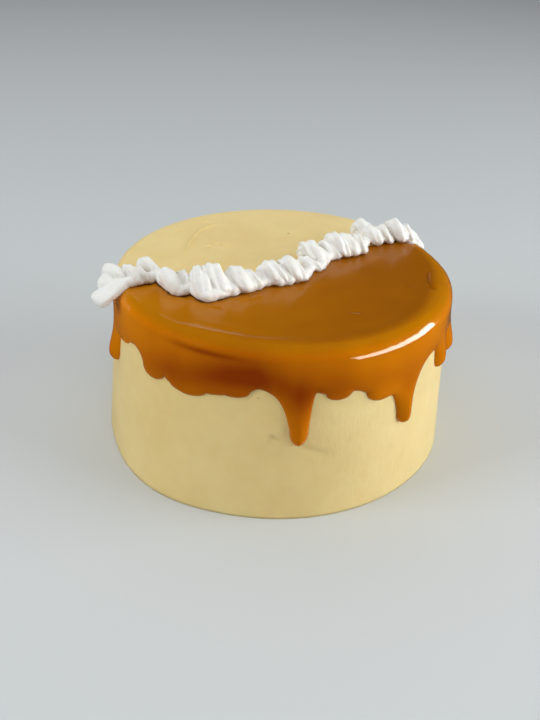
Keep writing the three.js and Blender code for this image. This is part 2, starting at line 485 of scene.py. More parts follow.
class Shader:
    """Adds nodes to a material's or a group's tree and links them."""

    def __init__(self, tree: bpy.types.NodeTree) -> None:
        """Keep the tree that nodes are added to."""
        self.tree = tree

    def add(self, kind: str, inputs: dict | None = None, **settings: object) -> bpy.types.Node:
        """Add a node.

        Args:
            kind: The node's type, without its ShaderNode prefix.
            inputs: What its sockets get, by name or index: a socket to link, or a plain value.
            settings: Its own settings.

        Returns:
            The new node.
        """
        node = self.tree.nodes.new("ShaderNode" + kind)
        for name, value in settings.items():
            setattr(node, name, value)
        for key, value in (inputs or {}).items():
            if isinstance(value, Socket):
                self.tree.links.new(value, node.inputs[key])
            else:
                node.inputs[key].default_value = value
        return node

    def span(
        self,
        value: Socket,
        low: float,
        high: float,
        first: float = 0,
        last: float = 1,
        ease: str = "LINEAR",
    ) -> Socket:
        """Map a span of values on to another, held at its ends.

        Args:
            value: The value.
            low: Where the span starts.
            high: Where it ends.
            first: The result at its start.
            last: The result at its end.
            ease: How the result runs between them.

        Returns:
            The result's socket.
        """
        spans = {"Value": value, "From Min": low, "From Max": high, "To Min": first, "To Max": last}
        return self.add("MapRange", spans, interpolation_type=ease).outputs[0]

    def maths(self, operation: str, a: object, b: object = 0.0) -> Socket:
        """Join two values by an operation of the Math node."""
        return self.add("Math", {0: a, 1: b}, operation=operation).outputs[0]

    def mix(self, share: object, a: object, b: object) -> Socket:
        """Mix two colours by a share."""
        return self.add("Mix", {0: share, 6: a, 7: b}, data_type="RGBA").outputs[2]


def node_group(
    name: str,
    inputs: dict[str, tuple],
    outputs: dict[str, str],
    fill: Callable[[Shader, dict], dict],
) -> bpy.types.NodeTree:
    """Build a shader node group once.

    Args:
        name: The group's name.
        inputs: The type of each input, and what it holds when nothing is linked.
        outputs: The type of each output.
        fill: Adds its nodes, given the shader and the inputs, and returns a socket for each output.

    Returns:
        The group.
    """
    tree = bpy.data.node_groups.new(name, "ShaderNodeTree")
    for label, (kind, *value) in inputs.items():
        made = tree.interface.new_socket(name=label, in_out="INPUT", socket_type=kind)
        if value:
            made.default_value = value[0]
    for label, kind in outputs.items():
        tree.interface.new_socket(name=label, in_out="OUTPUT", socket_type=kind)
    start = tree.nodes.new("NodeGroupInput")
    end = tree.nodes.new("NodeGroupOutput")
    found = fill(Shader(tree), {label: start.outputs[label] for label in inputs})
    for label, socket in found.items():
        tree.links.new(socket, end.inputs[label])
    return tree


FLOAT = "NodeSocketFloat"
COLOUR = "NodeSocketColor"
VECTOR = "NodeSocketVector"


def two_noises(shader: Shader, given: dict, finer: float, details: tuple[float, float]) -> list[Socket]:
    """Add a coarse noise and a finer one.

    Args:
        shader: The group's shader.
        given: Its inputs.
        finer: How much finer the second is.
        details: The detail of each.

    Returns:
        The socket of each.
    """
    scales = (given["Scale"], shader.maths("MULTIPLY", given["Scale"], finer))
    return [
        shader.add("TexNoise", {"Vector": given["Vector"], "Scale": scale, "Detail": detail}).outputs[0]
        for scale, detail in zip(scales, details)
    ]


def fill_mottle(shader: Shader, given: dict) -> dict:
    """Add a cloudy change between two tones, of large and small clouds together.

    Args:
        shader: The group's shader.
        given: Its inputs.

    Returns:
        Its outputs.
    """
    large, fine = two_noises(shader, given, 5.3, (2, 3))
    both = shader.maths("ADD", shader.maths("MULTIPLY", large, 0.7), shader.maths("MULTIPLY", fine, 0.3))
    share = shader.span(both, 0.34, 0.66)
    return {"Color": shader.mix(share, given["Tone"], given["Other Tone"]), "Share": share}


def fill_specks(shader: Shader, given: dict) -> dict:
    """Add sparse small round specks of uneven size.

    Args:
        shader: The group's shader.
        given: Its inputs.

    Returns:
        Its outputs.
    """
    cells = shader.add("TexVoronoi", {"Vector": given["Vector"], "Scale": given["Scale"]})
    chance = shader.add("SeparateColor", {"Color": cells.outputs["Color"]})
    reach = shader.maths("MULTIPLY", given["Size"], chance.outputs[1])
    inside = shader.maths("LESS_THAN", cells.outputs["Distance"], reach)
    chosen = shader.maths("GREATER_THAN", chance.outputs[0], given["Rarity"])
    return {"Mask": shader.maths("MULTIPLY", inside, chosen)}


def fill_relief(shader: Shader, given: dict) -> dict:
    """Add fine relief from two sizes of noise.

    Args:
        shader: The group's shader.
        given: Its inputs.

    Returns:
        Its outputs.
    """
    coarse, fine = two_noises(shader, given, 4.1, (2, 4))
    return {"Height": shader.maths("ADD", coarse, shader.maths("MULTIPLY", fine, given["Fine Share"]))}


class Effects:
    """The effects that the finishes share, each a node group that is built once."""

    def __init__(self) -> None:
        """Build the groups."""
        place = {"Vector": (VECTOR,)}
        self.mottle = node_group(
            "mottle",
            place | {"Scale": (FLOAT, 10.0), "Tone": (COLOUR,), "Other Tone": (COLOUR,)},
            {"Color": COLOUR, "Share": FLOAT},
            fill_mottle,
        )
        self.specks = node_group(
            "specks",
            place | {"Scale": (FLOAT, 60.0), "Size": (FLOAT, 0.1), "Rarity": (FLOAT, 0.8)},
            {"Mask": FLOAT},
            fill_specks,
        )
        self.relief = node_group(
            "relief",
            place | {"Scale": (FLOAT, 100.0), "Fine Share": (FLOAT, 0.3)},
            {"Height": FLOAT},
            fill_relief,
        )


class Finish:
    """A material under construction: its tree, its shader and its object coordinates."""

    def __init__(self, name: str) -> None:
        """Start a material.

        Args:
            name: Its name.
        """
        self.material = bpy.data.materials.new(name)
        self.material.use_nodes = True
        self.shader = Shader(self.material.node_tree)
        self.bsdf = self.material.node_tree.nodes["Principled BSDF"]
        self.place = self.shader.add("TexCoord").outputs["Object"]

    def constant(self, **values: object) -> None:
        """Set plain values on the shader's sockets, with _ for a space in a name."""
        for name, value in values.items():
            self.bsdf.inputs[name.replace("_", " ")].default_value = value

    def link(self, socket: Socket, name: str) -> None:
        """Feed one of the shader's sockets."""
        self.material.node_tree.links.new(socket, self.bsdf.inputs[name])

    def stretched(self, scale: tuple[float, float, float]) -> Socket:
        """Object coordinates, squeezed along each axis by a factor."""
        return self.shader.add("Mapping", {"Vector": self.place, "Scale": scale}).outputs[0]

    def group(self, tree: bpy.types.NodeTree, output: str, **values: object) -> Socket:
        """Place a shared effect.

        Args:
            tree: The effect's group.
            output: Which of its outputs to read.
            values: Its inputs, with _ for a space in a name.

        Returns:
            The output's socket.
        """
        inputs = {name.replace("_", " "): value for name, value in values.items()}
        return self.shader.add("Group", {"Vector": self.place} | inputs, node_tree=tree).outputs[output]

    def bumps(self, height: Socket, distance: float, strength: float) -> None:
        """Let a height in metres of relief shade the surface."""
        node = self.shader.add("Bump", {"Height": height, "Distance": distance, "Strength": strength})
        self.link(node.outputs[0], "Normal")


@dataclass(frozen=True)
class ButtercreamFinish:
    """Pale yellow buttercream, scraped smooth by hand."""

    tone: Rgba = (0.865, 0.665, 0.29, 1)
    other_tone: Rgba = (0.80, 0.59, 0.238, 1)
    speck: Rgba = (0.30, 0.19, 0.06, 1)
    speck_share: float = 0.55
    pit_depth: float = 0.8
    roughness: float = 0.52

    def build(self, effects: Effects) -> bpy.types.Material:
        """Build the material.

        Args:
            effects: The shared effects.

        Returns:
            The material.
        """
        f = Finish("buttercream")
        cloud = f.group(effects.mottle, "Color", Scale=22.0, Tone=self.tone, Other_Tone=self.other_tone)
        specks = f.group(effects.specks, "Mask", Scale=150.0, Size=0.15, Rarity=0.975)
        specks = f.shader.maths("MULTIPLY", specks, self.speck_share)
        f.link(f.shader.mix(specks, cloud, self.speck), "Base Color")
        upright = f.stretched((1, 1, 0.5))
        scrape = f.group(effects.relief, "Height", Vector=upright, Scale=300.0, Fine_Share=0.6)
        pits = f.group(effects.specks, "Mask", Scale=260.0, Size=0.2, Rarity=0.9)
        height = f.shader.maths("SUBTRACT", scrape, f.shader.maths("MULTIPLY", pits, self.pit_depth))
        f.bumps(height, distance=0.0003, strength=0.45)
        f.constant(
            Roughness=self.roughness,
            Subsurface_Weight=0.25,
            Subsurface_Radius=(1.0, 0.62, 0.25),
            Subsurface_Scale=0.004,
            IOR=1.45,
            Specular_IOR_Level=0.4,
            Sheen_Weight=0.13,
            Sheen_Roughness=0.5,
            Sheen_Tint=(0.9, 0.97, 1.0, 1),
        )
        return f.material


@dataclass(frozen=True)
class CaramelFinish:
    """Thick glossy caramel, deeper in tone where it runs down the side, with painted shade on the side's
    front left and under the rim, and a painted shadow under the border's lip.
    """

    # Each tone gives way to its deep one by the depth attribute, which on the side also carries painted
    # shade
    pool: Rgba = (0.51, 0.177, 0.0005, 1)
    pool_deep: Rgba = (0.31, 0.092, 0.0005, 1)
    skirt: Rgba = (0.70, 0.210, 0.0005, 1)
    skirt_deep: Rgba = (0.25, 0.034, 0.0005, 1)
    # Painted shadow under the border's lip, mixed in last by the second attribute
    lip_shadow: Rgba = (0.07, 0.020, 0.0005, 1)
    cloud_share: float = 0.1
    # Heights in metres between which the skirt's finish gives way to the pool's
    skirt_top: float = 0.0965
    pool_bottom: float = 0.1002
    pool_roughness: float = 0.18
    roughness: float = 0.08
    shine: float = 0.14
    skirt_coat: float = 0.36

    def build(self, effects: Effects) -> bpy.types.Material:
        """Build the material.

        Args:
            effects: The shared effects.

        Returns:
            The material.
        """
        f = Finish("caramel")
        shader = f.shader
        cloud = shader.maths("MULTIPLY", f.group(effects.mottle, "Share", Scale=14.0), self.cloud_share)
        # The depth attribute is the caramel's deeper tone together with painted shade on the side's front
        # left and in the crease under the rim; the second is the painted shadow under the border's lip
        marked = {
            name: shader.add("Attribute", attribute_name=name).outputs["Fac"] for name in ("depth", "lip_shadow")
        }
        depth = shader.maths("ADD", marked["depth"], cloud)
        height = shader.add("SeparateXYZ", {0: f.place}).outputs["Z"]
        share = shader.span(height, self.skirt_top, self.pool_bottom, ease="SMOOTHSTEP")
        pool = shader.mix(depth, self.pool, self.pool_deep)
        skirt = shader.mix(depth, self.skirt, self.skirt_deep)
        # The painted shadow under the border's lip darkens the colour last
        f.link(shader.mix(marked["lip_shadow"], shader.mix(share, skirt, pool), self.lip_shadow), "Base Color")
        f.link(shader.span(share, 0, 1, self.roughness, self.pool_roughness), "Roughness")
        f.link(shader.span(share, 0, 1, self.skirt_coat, 0), "Coat Weight")
        waves = f.group(effects.relief, "Height", Scale=45.0, Fine_Share=0.12)
        f.bumps(waves, distance=0.0006, strength=0.35)
        f.constant(
            Subsurface_Weight=0.08,
            Subsurface_Radius=(1.0, 0.45, 0.1),
            Subsurface_Scale=0.003,
            IOR=1.45,
            Specular_IOR_Level=self.shine,
            Specular_Tint=(1.0, 0.8, 0.55, 1),
            Coat_Roughness=self.roughness,
            Coat_IOR=1.5,
        )
        return f.material


@dataclass(frozen=True)
class CreamFinish:
    """White piped cream, soft and matt, with a fine grain of air bubbles."""

    tone: Rgba = (0.90, 0.885, 0.85, 1)
    other_tone: Rgba = (0.87, 0.85, 0.80, 1)
    pit_depth: float = 0.7
    roughness: float = 0.5

    def build(self, effects: Effects) -> bpy.types.Material:
        """Build the material.

        Args:
            effects: The shared effects.

        Returns:
            The material.
        """
        f = Finish("cream")
        tones = {"Tone": self.tone, "Other_Tone": self.other_tone}
        f.link(f.group(effects.mottle, "Color", Scale=60.0, **tones), "Base Color")
        grain = f.group(effects.relief, "Height", Scale=420.0, Fine_Share=0.6)
        pits = f.group(effects.specks, "Mask", Scale=520.0, Size=0.25, Rarity=0.8)
        height = f.shader.maths("SUBTRACT", grain, f.shader.maths("MULTIPLY", pits, self.pit_depth))
        f.bumps(height, distance=0.00025, strength=0.5)
        f.constant(
            Roughness=self.roughness,
            Subsurface_Weight=0.3,
            Subsurface_Radius=(1.0, 0.85, 0.65),
            Subsurface_Scale=0.0012,
            IOR=1.45,
            Specular_IOR_Level=0.4,
        )
        return f.material


# The cake's body


@dataclass
class ButtercreamBody(Assembly):
    """The uncut cake in its smoothed buttercream."""

    node: ClassVar[Node] = Node.CAKE
    slot: ClassVar[Slot] = Slot.BUTTERCREAM
    around: int = 480
    side_rows: int = 60
    shoulder_rows: int = 8
    top_rows: int = 120
    base_shares: tuple[float, ...] = (0.3, 0.6, 0.85, 0.97)
    top_marks: tuple[Mark, ...] = (
        Mark(
            ((-53.2, 20), (-52.8, 31), (-51.4, 40.5), (-48.8, 52), (-45.6, 58), (-42, 62.8), (-36, 65.5)),
            1.0, 0.75, 0.3,
        ),
        Mark(((-70, 62), (-62.4, 67.5), (-56, 68.5), (-49.7, 68.2), (-40, 69)), 0.9, 0.9, -0.4),
        Mark(((-31, 29.7), (-26.9, 26.9), (-23, 25.7)), 0.4, 0.9),
        Mark(((-40.6, 27.5), (-40, 28.1)), -2.2, 0.8),
        Mark(((-37.2, 33), (-36.6, 33.6)), -2.2, 0.8),
        Mark(((-33.2, 31.2), (-32.2, 32.2)), -2.2, 0.8),
        Mark(((-29.4, 29.4), (-28.9, 29.8)), -2.2, 0.8),
        Mark(((-75, 20), (-70, 44), (-60, 60)), 0.1, 2.5, 0.12),
        Mark(((-10, 84), (10, 86), (32, 80)), 0.1, 2.0, 0.1),
    )
    # Places on the side are the arc round it from the right, and the height
    side_marks: tuple[Mark, ...] = (
        Mark(((-154.6, 51.4), (-152.4, 50.5), (-150, 49)), -1.4, 1.4, 0.5),
        Mark(((-141.5, 47.5), (-136.5, 44.5), (-130.4, 41.5), (-123.4, 39.5)), -0.45, 1.4, 0.35),
        Mark(((-123, 23.3), (-94, 14.2)), 0.08, 1.4, 0.08),
        Mark(((-215, 22), (-190, 26), (-165, 25)), 0.05, 2.0, 0.06),
    )
    arc_radius: float = 97
    hand: tuple[Ripple, ...] = (Ripple(0.14, 34, 3.1, (1, 1, 1.6)), Ripple(0.05, 11, 8.4, (1, 1, 2.2)))
    scrapes: Ripple = Ripple(0.035, 6, 5.2, (0.35, 0.35, 3.0))
    # How far from the turned edge the relief starts, on the top and on the side
    top_clear: tuple[float, float] = (-6, -1)
    side_clear: float = 6
    # Heights between which the relief sets in, just below and above the base
    base_clear: tuple[float, float] = (-2, 2)

    def shape(self) -> bpy.types.Object:
        """Spin a profile round and lay its points on the skin.

        Returns:
            The body.
        """
        form = self.form
        side = form.down_to(np.linspace(0, form.height - form.edge_radius, self.side_rows))
        shoulder = form.turn * np.linspace(1, 0, self.shoulder_rows)[1:]
        inner = -np.linspace(0, 1, self.top_rows)[1:-1] * (form.top_radius - form.edge_radius)
        downs = np.concatenate([side, shoulder, inner])
        base = len(self.base_shares)
        rows = base + len(downs)
        bm = bmesh.new()
        profile = [bm.verts.new((0, 0, 0))]
        profile += [bm.verts.new((1, 0, row + 1)) for row in range(rows)]
        profile.append(bm.verts.new((0, 0, rows + 1)))
        edges = [bm.edges.new(pair) for pair in zip(profile, profile[1:])]
        bmesh.ops.spin(
            bm,
            geom=profile + edges,
            cent=(0, 0, 0),
            axis=(0, 0, 1),
            angle=math.tau,
            steps=self.around,
            use_merge=True,
        )
        bmesh.ops.remove_doubles(bm, verts=bm.verts, dist=WELD)
        body = new_piece("buttercream_cake", bm)
        points = read_points(body.data)
        angle = polar(points)[1]
        row = np.rint(points[:, 2]).astype(int)
        down = np.concatenate([np.full(base + 1, form.down_to(0.0)), downs, [0]])[row]
        placed = form.skin(angle, down, np.zeros(len(down)))
        placed = form.skin(angle, down, self.relief(placed, angle, down))
        share = np.concatenate([[0], self.base_shares, np.ones(len(downs)), [0]])[row]
        placed[:, :2] *= share[:, None]
        placed[row == rows + 1] = (form.lean, 0, form.height)
        write_points(body.data, placed * MM)
        tidy_mesh(body)
        return body

    def relief(self, points: Array, angle: Array, down: Array) -> Array:
        """How far the skin stands out at each point, from the spatula and the hand.

        Args:
            points: Points of the plain skin.
            angle: Their angles in radians.
            down: Their distances down the skin.

        Returns:
            The relief in millimetres.
        """
        form = self.form
        top = 1 - smooth_step(*self.top_clear, down)
        side = smooth_step(form.turn, form.turn + self.side_clear, down)
        arc = np.stack([angle * self.arc_radius, points[:, 2]], 1)
        result = sum(wave.at(points) * (top + side) for wave in self.hand)
        result += self.scrapes.at(points) * side
        for marks, where, share in ((self.top_marks, points[:, :2], top), (self.side_marks, arc, side)):
            result += share * sum(mark.relief(where) for mark in marks)
        return result * smooth_step(*self.base_clear, form.down_to(0.0) - down)


# The caramel glaze


@dataclass(frozen=True)
class Drip:
    """A drip or lobe of the glaze's hem.

    Attributes:
        at: Its angle in degrees.
        tip: The height of its tip.
        half: Half its width.
        left: How widely its left flank flares into the hem.
        right: How widely its right flank does.
    """

    at: float
    tip: float
    half: float
    left: float
    right: float


@dataclass
class CaramelGlaze(Assembly):
    """The caramel that was poured over the front, as one closed skin."""

    node: ClassVar[Node] = Node.GLAZE
    slot: ClassVar[Slot] = Slot.CARAMEL
    border: "PipedBorder"
    drips: tuple[Drip, ...] = (
        Drip(-158.5, 55.5, 5.8, 1.0, 1.0),
        Drip(-152.0, 73.8, 10, 3, 5),
        Drip(-130.9, 67.7, 8.4, 3.7, 6),
        Drip(-123.2, 70.2, 5, 2.7, 2),
        Drip(-117.3, 66.9, 10.5, 5.4, 8.2),
        Drip(-109.8, 70.7, 7.6, 3.2, 3),
        Drip(-102.8, 71.6, 8.2, 5, 3.4),
        Drip(-83.1, 46.6, 4.5, 4.9, 0.9),
        Drip(-72.3, 71.2, 6.5, 9.9, 9.6),
        Drip(-58, 65.7, 9.3, 11.9, 5),
        Drip(-48, 46, 4.7, 6.8, 4.6),
        Drip(-28, 64, 5.6, 1.4, 1),
        Drip(-14, 61.5, 4.8, 1, 1.6),
        Drip(3, 68, 6, 3, 2),
        Drip(18, 56, 4.6, 2.4, 1.2),
    )
    first: float = -169
    last: float = 33
    hem: float = 79
    hem_end: float = 90
    hem_rise: float = 7
    hem_blend: float = 5
    side_thickness: float = 2.2
    top_thickness: float = 3
    edge: float = 6.5
    inner_reach: float = 2.5
    tip_length: float = 1.6
    drip_bulge: float = 1.5
    long_drip: float = 25
    swell_width: float = 1.4
    swell_start: float = -8
    # The bead at the tip of a slim drip: its height, its length and its place above the tip in
    # half widths, and the drip's lengths between which it sets in
    bead: float = 1.7
    bead_length: float = 9
    bead_at: float = 1.3
    bead_from: tuple[float, float] = (9, 16)
    slim: float = 6
    # How much thinner it is on the turned edge, and the share of that at the left end
    shoulder_cut: float = 0.6
    shoulder_cut_end: float = 0.3
    shoulder_cut_turn: tuple[float, float] = (-160, -140)
    brow: Patch = Patch(0.9, 86, 7, -60, 18)
    brow_from: tuple[float, float] = (1.5, 2)
    swells: Ripple = Ripple(0.16, 24, 2.7)
    runs: Ripple = Ripple(0.10, 9, 6.1, (1, 1, 0.35))
    runs_from: tuple[float, float] = (1.5, 2.2)
    shoulder_ripple: Ripple = Ripple(0.13, 3.8, 7.7)
    shoulder_ripple_at: float = 1.35
    shoulder_ripple_reach: float = 0.5
    top_end: tuple[float, float] = (0.98, 1.1)
    rim_inset: float = 1.5
    sunk: float = 0.6
    columns: int = 680
    # How much of the hem's rise counts in spreading the columns
    steep_share: float = 0.5
    # The share of even spacing in the top's rows, and how much the side's rows crowd towards the hem
    even: float = 0.35
    crowding: float = 1.35
    top_rows: int = 78
    shoulder_rows: int = 13
    side_rows: int = 32
    under_rows: int = 5
    outline_steps: int = 4
    end_steps: int = 200
    # How deep the caramel's tone is on the side, by the angle; its peak at the front left is partly deeper
    # tone and partly painted shade
    side_depth_and_shade: Path2D = (
        (-170, 0.7), (-138, 0.75), (-128, 0.75), (-119, 0.7), (-111, 0.85), (-104, 1.05), (-96, 1.04),
        (-91, 0.76), (-84, 0.82), (-79, 0.6), (-72, 0.6), (-64, 0.42), (-52, 0.32), (-25, 0.2), (5, 0.2),
        (33, 0.35),
    )
    # The height at which it is deepest, by the angle, how far that reaches, and the share left beyond; round
    # the front left it marks painted shade as well as deeper tone
    deepest_tone_and_shade: Path2D = ((-118, 79), (-106, 84), (-96, 85.5), (-91, 84), (-86, 79), (-78, 79))
    deepest_tone_and_shade_tall: float = 9
    deepest_tone_and_shade_rest: float = 0.4
    # The deeper root of each long drip
    root: float = 71
    root_tall: float = 8
    root_wide: float = 1.6
    root_depth: float = 0.2
    # Painted shade in the crease under the rim
    crease_shade: Patch = Patch(0.5, 94, 1.6, -113, 11)
    cloud: Ripple = Ripple(0.10, 13, 1.3, (1, 1, 0.5))
    # Distances from the raised ring over which the pool's tone gives way to the side's
    tone_turn: tuple[float, float] = (-1, 6)
    # How deep it is in the pool, from left to right
    pool_depth: Path2D = ((-80, 0.0), (-40, 0.35), (-10, 0.57), (45, 0.85), (80, 1.0))
    # The raised ring at the pool's edge: angle in degrees, and radius from the rim's middle
    ring: Path2D = (
        (-170, 97), (-143, 97), (-133, 96), (-127, 95), (-118, 91.5), (-109, 90.7), (-90, 90.8), (-72, 91),
        (-50, 89.5), (-23, 83.5), (-4, 82.3), (20, 82), (35, 80),
    )
    ring_middle: tuple[float, float] = (3.7, 0.5)
    ring_width: float = 2.4
    # Its height at the left and at the right, and the angles between which it changes
    ring_heights: tuple[float, float] = (0.4, 0.1)
    ring_turn: tuple[float, float] = (-100, -78)
    # How much lower the pool lies, and how far inside the ring that sets in
    dip: float = 0.35
    dip_reach: tuple[float, float] = (1, 7)
    # The painted shadow under the border's lip: its reach, and where it starts and pales, from left to right
    lip_shadow_reach: tuple[float, float] = (2.2, 4.2)
    lip_shadow_drift: Ripple = Ripple(1.1, 3.5, 12.6)
    lip_shadow_start: tuple[float, float] = (-78, -68)
    lip_shadow_turn: tuple[float, float] = (-28, -8)
    lip_shadow_rest: float = 0.3
    lip_shadow_steps: int = 6
    marks: tuple[Mark, ...] = (
        Mark(((37.5, -55.7), (42.5, -56.6)), -0.8, 0.8),
        Mark(((38, -59.5), (43, -60.5)), 0.4, 1.1),
        Mark(((70, -24.5), (73.5, -26)), 0.35, 1.1),
        Mark(((-33, -54.5), (-27.4, -57.6)), 0.5, 1.2),
        Mark(((-22, -46.5), (-15, -43.5)), 0.5, 1.1),
        Mark(((-14.5, -47.5), (-7.5, -41.3)), 0.5, 1.1),
        Mark(((11, -32), (15, -30)), 0.4, 1.1),
        Mark(((85.5, -2), (84.1, -8), (83.4, -18), (85, -28.8)), -1.1, 1.0, 0.35),
        Mark(((82.5, -24), (86.5, -25.5)), -1.2, 0.9),
        Mark(((82, -21), (87, -21.5), (91.5, -24)), 0.8, 0.9),
        Mark(((20, -75), (45, -68), (62, -52)), 0.12, 4.0),
        Mark(((-40, -72), (-15, -79), (10, -80)), 0.15, 3.0),
    )

    def drip_depth(self, drip: Drip, arc: Array) -> Array:
        """How far a drip reaches below the hem at arc lengths from its middle.

        Args:
            drip: The drip.
            arc: The arc lengths, under 0 to its left.

        Returns:
            The reach at each.
        """
        length = self.hem - drip.tip
        tip = min(self.tip_length * drip.half, length / 2)
        flare = np.where(arc < 0, drip.left, drip.right)
        side = np.abs(arc)
        inside = length - tip + np.sqrt(np.clip(1 - (side / drip.half) ** 2, 0, None)) * tip
        flank = (length - tip) * np.exp(-np.clip(side - drip.half, 0, None) / flare)
        return np.where(side < drip.half, inside, flank)

    def lower_edge(self, degrees: Array) -> Array:
        """The height of the hem at angles in degrees.

        Args:
            degrees: The angles.

        Returns:
            The height at each angle.
        """
        per_degree = self.form.per_degree
        total = sum(self.drip_depth(d, (degrees - d.at) * per_degree) ** self.hem_blend for d in self.drips)
        to_end = np.minimum(degrees - self.first, self.last - degrees) / self.hem_rise
        rise = np.where(to_end < 1, (1 + np.cos(math.pi * np.clip(to_end, 0, 1))) / 2, 0)
        return self.hem - total ** (1 / self.hem_blend) * (1 - rise) + (self.hem_end - self.hem) * rise

    def column_angles(self) -> Array:
        """Angles of the columns in degrees, closer together where the hem is steep.

        Returns:
            The angles from left to right.
        """
        fine = np.linspace(self.first, self.last, 20001)
        rises = self.steep_share * np.diff(self.lower_edge(fine))
        steps = np.hypot(np.diff(fine) * self.form.per_degree, rises)
        run = np.concatenate([[0], np.cumsum(steps)])
        return np.interp(np.linspace(0, run[-1], self.columns), run, fine)

    def inner_edge(self, degrees: Array) -> Array:
        """Where the glaze ends under the border, and past the border's ends along the rim.

        Args:
            degrees: Angles of the columns.

        Returns:
            One point of the flat top for each.
        """
        line = self.border.line()
        radii, angles = polar(line, (self.form.lean, 0))
        inside = radii < self.form.start(angles) - self.rim_inset
        first, last = np.argmax(inside), len(line) - 1 - np.argmax(inside[::-1])
        kept = line[first:last + 1]
        ends = np.degrees(angles[[first, last]])
        run = run_along(kept)
        share = np.clip((degrees - ends[0]) / (ends[1] - ends[0]), 0, 1) * run[-1]
        rim = self.form.skin(np.radians(degrees), -self.rim_inset, 0)[:, :2]
        past = (degrees <= ends[0]) | (degrees >= ends[1])
        flat = np.where(past[:, None], rim, pick(kept, run, share))
        return np.column_stack([flat, np.full(len(flat), self.form.height)])

    def lay(self, part: Array, degrees: Array, inner: Array, off: Array) -> Array:
        """Places on the skin, moved off it.

        Args:
            part: Where each place lies down its column: up to 1 on the flat top, to 2 round the edge,
                to 3 on the side.
            degrees: The columns' angles.
            inner: Where the columns start.
            off: How far each place lies off the skin.

        Returns:
            One point a row, in millimetres.
        """
        form = self.form
        angle = np.radians(degrees)
        low = form.down_to(self.lower_edge(degrees))
        rim = form.skin(angle, 0, 0)
        down = np.where(part < 2, form.turn * (part - 1), blend(form.turn, low, part - 2))
        round_edge = form.skin(angle, np.maximum(down, 0), off)
        flat = blend(inner, rim, np.clip(part, 0, 1)[:, None])
        flat[:, 0] += form.lean * off / form.height
        flat[:, 2] = form.height + off
        return np.where((part < 1)[:, None], flat, round_edge)

    def thickness(self, part: Array, degrees: Array, places: Array) -> Array:
        """The glaze's full thickness away from its edges.

        Args:
            part: Where each place lies down its column.
            degrees: The columns' angles.
            places: The places on the skin.

        Returns:
            The thickness in millimetres.
        """
        turned = np.clip(part - 1, 0, 1)
        full = blend(self.top_thickness, self.side_thickness, turned)
        cut = blend(self.shoulder_cut_end, 1, smooth_step(*self.shoulder_cut_turn, degrees))
        full -= self.shoulder_cut * np.sin(math.pi * turned) * cut
        ring = self.ring_distance(places)
        on_top = 1 - smooth_step(*self.top_end, part)
        ridge = blend(*self.ring_heights, smooth_step(*self.ring_turn, degrees))
        dip = self.dip * smooth_step(*self.dip_reach, -ring)
        full += on_top * (ridge * bump(ring, self.ring_width) - dip)
        swell = np.zeros(len(part))
        for drip in self.drips:
            arc = (degrees - drip.at) * self.form.per_degree
            length = self.hem - drip.tip
            reach = smooth_step(self.swell_start, length, self.hem - places[:, 2])
            across = bump(arc, drip.half * self.swell_width)
            swell = np.maximum(swell, across * reach * min(1, length / self.long_drip))
            above = places[:, 2] - drip.tip - self.bead_at * drip.half
            bead = bump(arc, drip.half) * bump(above, self.bead_length)
            full += self.bead * bead * smooth_step(*self.bead_from, length) * (drip.half < self.slim)
        full += self.drip_bulge * swell
        full += on_top * sum(mark.relief(places[:, :2]) for mark in self.marks)
        near = bump(part - self.shoulder_ripple_at, self.shoulder_ripple_reach)
        full += self.shoulder_ripple.at(places) * near
        full += self.brow.on(degrees, places) * smooth_step(*self.brow_from, part)
        full += self.swells.at(places) + self.runs.at(places) * smooth_step(*self.runs_from, part)
        return full

    def ring_distance(self, places: Array) -> Array:
        """How far places lie outside the pool's raised ring, under 0 inside it."""
        radii, angles = polar(places, self.ring_middle)
        return radii - look_up(self.ring, np.degrees(angles))

    def depth(self, degrees: Array, places: Array) -> Array:
        """How deep the caramel's tone is, from 0 for golden to 1 for brown, with painted shade on the side's
        front left and in the crease under the rim.

        Args:
            degrees: The places' angles.
            places: Places on the glaze.

        Returns:
            The depth at each place.
        """
        z = places[:, 2]
        pool = look_up(self.pool_depth, places[:, 0])
        side = look_up(self.side_depth_and_shade, degrees)
        below = z - look_up(self.deepest_tone_and_shade, degrees)
        side = side * blend(self.deepest_tone_and_shade_rest, 1, bump(below, self.deepest_tone_and_shade_tall))
        side = side + self.crease_shade.on(degrees, places)
        for drip in self.drips:
            if self.hem - drip.tip > self.long_drip:
                arc = (degrees - drip.at) * self.form.per_degree
                root = bump(arc, self.root_wide * drip.half) * bump(z - self.root, self.root_tall)
                side = side + self.root_depth * root
        share = smooth_step(*self.tone_turn, self.ring_distance(places))
        return np.clip(blend(pool, side, share) + self.cloud.at(places), 0, 1)

    def lip_shadow(self, places: Array) -> Array:
        """How near places lie to the border's lip, for the painted shadow beneath it.

        Args:
            places: Places on the glaze.

        Returns:
            1 at the lip's foot to 0 away from it, for each place.
        """
        lip = self.border.smooth_path(self.border.lip, self.lip_shadow_steps)
        distance = to_path(places[:, :2], tuple(map(tuple, lip)))[0]
        near = 1 - smooth_step(*self.lip_shadow_reach, distance + self.lip_shadow_drift.at(places))
        pale = blend(1, self.lip_shadow_rest, smooth_step(*self.lip_shadow_turn, places[:, 0]))
        return near * smooth_step(*self.lip_shadow_start, places[:, 0]) * pale

